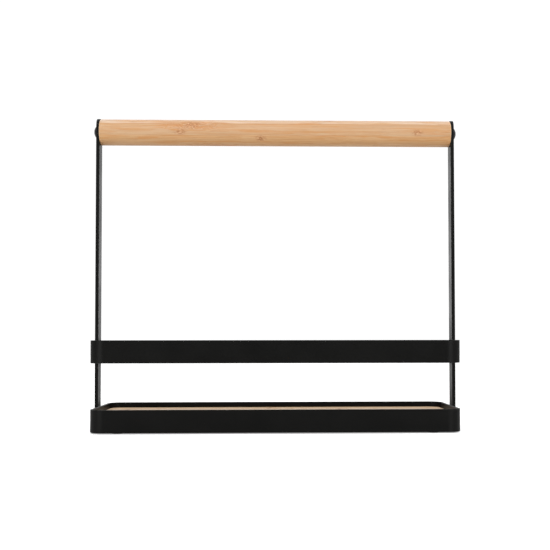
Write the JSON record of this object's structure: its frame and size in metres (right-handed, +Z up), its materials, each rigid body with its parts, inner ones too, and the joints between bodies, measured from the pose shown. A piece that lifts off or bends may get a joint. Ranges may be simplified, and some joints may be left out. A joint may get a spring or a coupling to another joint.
{
  "type": "handled desk caddy",
  "caption": "Desk caddy with a bamboo board in a black steel rim, a steel guard rail above it, flat end bars and a round bamboo carrying handle.",
  "frame": {"origin": "middle of the base, in the plane of the feet", "axes": "+X along the handle to the right seen from the front, +Y from the front to the back, +Z up"},
  "size_m": [0.3528, 0.12, 0.3],
  "materials": {
    "handle_bamboo": "honey bamboo, satin lacquer",
    "board_bamboo": "laminated bamboo, matte lacquer",
    "powder_coat": "matte black powder coat",
    "black_steel": "satin black",
    "insert_brass": "plain turned",
    "zinc_steel": "zinc plated",
    "foot_rubber": "moulded, matte"
  },
  "bodies": {
    "root": {"handle_dowel": "handle_bamboo", "handle_screw_left": "black_steel", "handle_screw_right": "black_steel", "handle_insert_left": "insert_brass", "handle_insert_right": "insert_brass", "upright_left": "powder_coat", "upright_right": "powder_coat", "upper_rail": "powder_coat", "tray_rim": "powder_coat", "base_board": "board_bamboo", "board_tab_front_left": "powder_coat", "board_tab_front_right": "powder_coat", "board_tab_back_left": "powder_coat", "board_tab_back_right": "powder_coat", "foot_front_left": "foot_rubber", "foot_front_right": "foot_rubber", "foot_back_left": "foot_rubber", "foot_back_right": "foot_rubber", "foot_screw_front_left": "zinc_steel", "foot_screw_front_right": "zinc_steel", "foot_screw_back_left": "zinc_steel", "foot_screw_back_right": "zinc_steel"}
  },
  "joints": []
}
